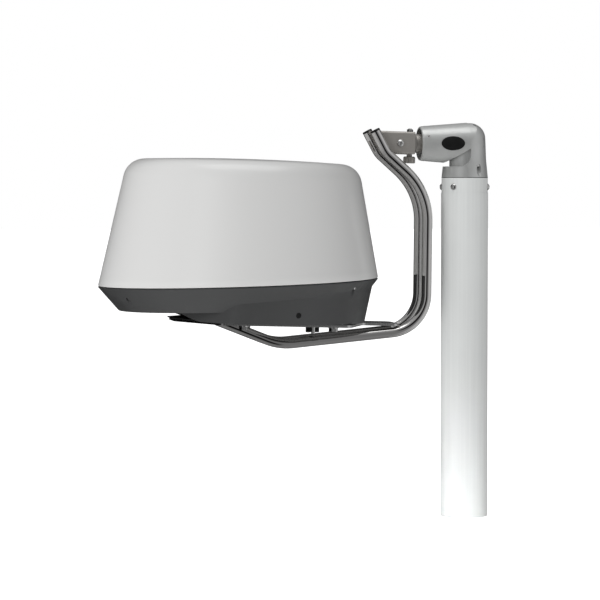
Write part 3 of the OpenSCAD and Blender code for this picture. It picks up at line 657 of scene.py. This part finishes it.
def make_welds(look):
    """Beads where the tubes meet the bracket, the plate and the plate's end."""
    corners = [Vector((x, z)) for x, z, _ in TUBE_PATH]
    top = corners[0]
    down = unit(corners[1] - top)
    right = Vector((-down.y, down.x))
    end = corners[-1]
    climb = unit(end - corners[-2])
    foot = end + climb * ((PLATE_Z - end.y) / climb.y)
    for side, word in ((-1, "near"), (1, "far")):
        y = side * (BRACKET_Y + 1.3 * MM)
        tube_y = side * TUBE_Y
        for offset, first, last, where in BRACKET_BEADS:
            a = top + down * first * MM + right * offset * MM
            b = top + down * last * MM + right * offset * MM
            line = [(a.x, y, a.y), (b.x, y, b.y)]
            make_weld(f"weld_bracket_{where}_{word}", line, BRACKET_BEAD_R * MM, look)
        half_x = TUBE_R / abs(climb.y) + 0.6 * MM
        half_y = TUBE_R + 0.8 * MM
        z = PLATE_Z - 0.7 * MM
        oval = [
            (foot.x + half_x * math.cos(t), tube_y + half_y * math.sin(t), z)
            for t in (2 * math.pi * k / 40 for k in range(41))
        ]
        make_weld(f"weld_plate_{word}", oval, PLATE_BEAD_R * MM, look, closed=True)
        line = [(3.8 * MM, tube_y + dy * MM, PLATE_Z - 0.4 * MM) for dy in (-6, 0, 6)]
        make_weld(f"weld_plate_end_{word}", line, BRACKET_BEAD_R * MM, look)


def softened(node, look, width):
    """A copy of a CAD piece with its edges rounded, in the piece's own place."""
    source = frame["nodes"][node]
    mesh = source.data.copy()
    mesh.name = node + "_finished"
    if "custom_normal" in mesh.attributes:
        mesh.attributes.remove(mesh.attributes["custom_normal"])
    bm = bmesh.new()
    bm.from_mesh(mesh)
    bmesh.ops.remove_doubles(bm, verts=bm.verts, dist=WELD_DISTANCE)
    bmesh.ops.dissolve_limit(
        bm, angle_limit=FLAT_ANGLE, verts=bm.verts, edges=bm.edges, delimit=set()
    )
    bm.to_mesh(mesh)
    bm.free()
    mesh.polygons.foreach_set("use_smooth", [True] * len(mesh.polygons))
    mesh.materials.clear()
    mesh.materials.append(look)
    piece = bpy.data.objects.new(node + "_finished", mesh)
    bpy.context.scene.collection.objects.link(piece)
    bevel = piece.modifiers.new("round_edges", "BEVEL")
    bevel.width = width
    bevel.segments = 3
    bevel.limit_method = "ANGLE"
    bevel.angle_limit = EDGE_ANGLE
    bevel.miter_outer = "MITER_ARC"
    bevel.use_clamp_overlap = True
    normals = piece.modifiers.new("flat_faces", "WEIGHTED_NORMAL")
    normals.keep_sharp = True
    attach(piece, source["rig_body"])
    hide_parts(node)


SLOTS = {row["node"]: row["material_slot"] for row in frame["record"]["subparts"]}

# Rounding: points this close are one, faces this flat are one, and edges this steep are rounded
WELD_DISTANCE = 2e-6
FLAT_ANGLE = math.radians(0.4)
EDGE_ANGLE = math.radians(28)

# Pieces whose edges are rounded, with the round's width in millimetres
ROUNDED = {
    "box_bracket": 0.5, "pole_head": 0.5, "barrel_housing": 0.5, "base_plate": 0.5,
    "plate_pad": 0.3, "radome_base": 0.8, "trim_knob": 0.3, "trim_cap_nut": 0.3,
    "pivot_bolt": 0.25, "pivot_nut": 0.4, "radome_bolts": 0.4, "centre_bolts": 0.3,
    "tube_caps": 0.8, "pivot_tongue": 0.6, "cable_socket": 0.5, "cross_brace": 0.4,
    "cover_screws": 0.2, "pole_screws": 0.2, "head_top_screw": 0.2, "barrel_clamp_screws": 0.2,
    "name_badge": 0.25, "vent_plug": 0.3, "bolt_washers": 0.2, "swing_shaft": 0.4,
    "pole_tube": 0.3, "drive_motor": 0.8, "transceiver_box": 0.8, "antenna_array": 0.8,
}


def make_all():
    """Dresses every CAD piece, then adds the finer pieces that replace or join them."""
    looks = make_materials()
    for node, piece in frame["nodes"].items():
        piece.data.materials.clear()
        piece.data.materials.append(looks[SLOTS[node]])
    make_cover(looks["cover_gelcoat"])
    make_tube("near_tube_polished", -TUBE_Y, "near_tube", looks["tube_steel"])
    make_tube("far_tube_polished", TUBE_Y, "far_tube", looks["tube_steel"])
    make_welds(looks["weld_steel"])
    for node, width in ROUNDED.items():
        softened(node, looks[SLOTS[node]], width * MM)


make_camera()
make_floor()
make_world()
make_lights()
make_all()
bpy.context.scene.view_settings.view_transform = "Standard"
